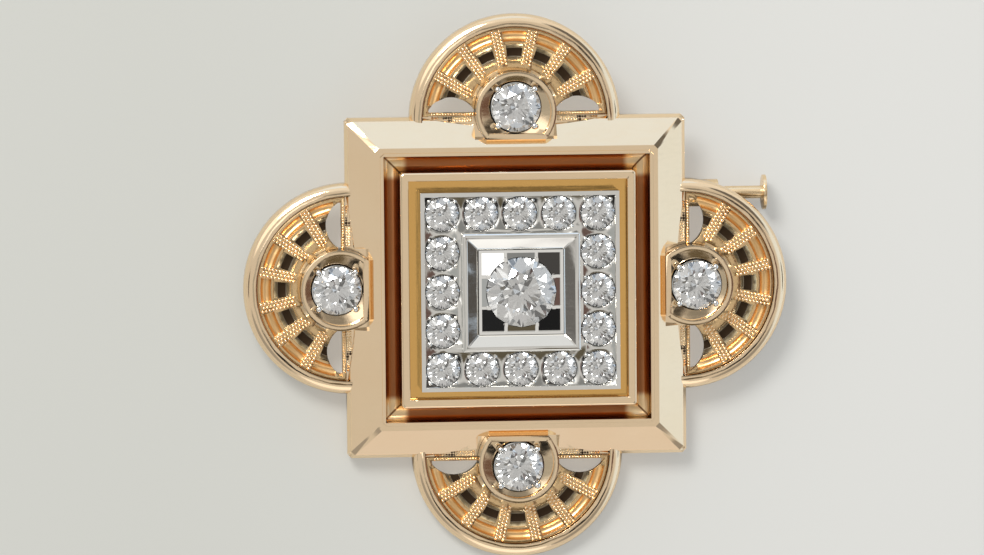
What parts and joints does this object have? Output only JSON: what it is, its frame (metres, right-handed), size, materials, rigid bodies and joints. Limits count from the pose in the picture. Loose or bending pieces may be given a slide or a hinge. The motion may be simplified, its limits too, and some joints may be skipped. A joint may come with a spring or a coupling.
{
  "type": "brooch",
  "caption": "Square stepped gold brooch with four half-round pierced lobes, diamond settings, and a hinged pin that closes into a sliding tube catch.",
  "frame": {"origin": "centre of the brooch seen from the front, at the lowest point of the catch's head", "axes": "+Z out of the brooch's front, +Y up as it is worn, +X to the right seen from the front"},
  "size_m": [0.04, 0.04, 0.0089],
  "materials": {
    "yellow_gold": "polished",
    "granulated_gold": "granulated and burnished",
    "white_gold": "polished",
    "diamond": "faceted",
    "pin_gold": "satin"
  },
  "bodies": {
    "brooch": {"outer_frame": "yellow_gold", "gallery_plate": "yellow_gold", "inner_frame": "yellow_gold", "plaque": "white_gold", "centre_frame": "white_gold", "centre_head": "white_gold", "centre_diamond": "diamond", "border_diamond_01": "diamond", "border_diamond_02": "diamond", "border_diamond_03": "diamond", "border_diamond_04": "diamond", "border_diamond_05": "diamond", "border_diamond_06": "diamond", "border_diamond_07": "diamond", "border_diamond_08": "diamond", "border_diamond_09": "diamond", "border_diamond_10": "diamond", "border_diamond_11": "diamond", "border_diamond_12": "diamond", "border_diamond_13": "diamond", "border_diamond_14": "diamond", "border_diamond_15": "diamond", "border_diamond_16": "diamond", "east_rim": "yellow_gold", "east_fan": "granulated_gold", "east_bezel": "yellow_gold", "east_collet": "white_gold", "east_diamond": "diamond", "north_rim": "yellow_gold", "north_fan": "granulated_gold", "north_bezel": "yellow_gold", "north_collet": "white_gold", "north_diamond": "diamond", "west_rim": "yellow_gold", "west_fan": "granulated_gold", "west_bezel": "yellow_gold", "west_collet": "white_gold", "west_diamond": "diamond", "south_rim": "yellow_gold", "south_fan": "granulated_gold", "south_bezel": "yellow_gold", "south_collet": "white_gold", "south_diamond": "diamond", "hinge_base": "pin_gold", "hinge_rivet": "pin_gold", "catch_saddle": "pin_gold", "catch_barrel": "pin_gold"},
    "pin": {"pin_stem": "pin_gold"},
    "plunger": {"plunger_tube": "pin_gold", "plunger_head": "pin_gold"}
  },
  "joints": [
    {"name": "pin_swing", "type": "hinge", "parent": "brooch", "child": "pin", "pos_m": [-0.0112, 0.0065, 0.0013], "axis": [0, 1, 0], "range_deg": [0, 100]},
    {"name": "plunger_slide", "type": "slide", "parent": "brooch", "child": "plunger", "axis": [1, 0, 0], "range_m": [-0.003, 0]}
  ]
}
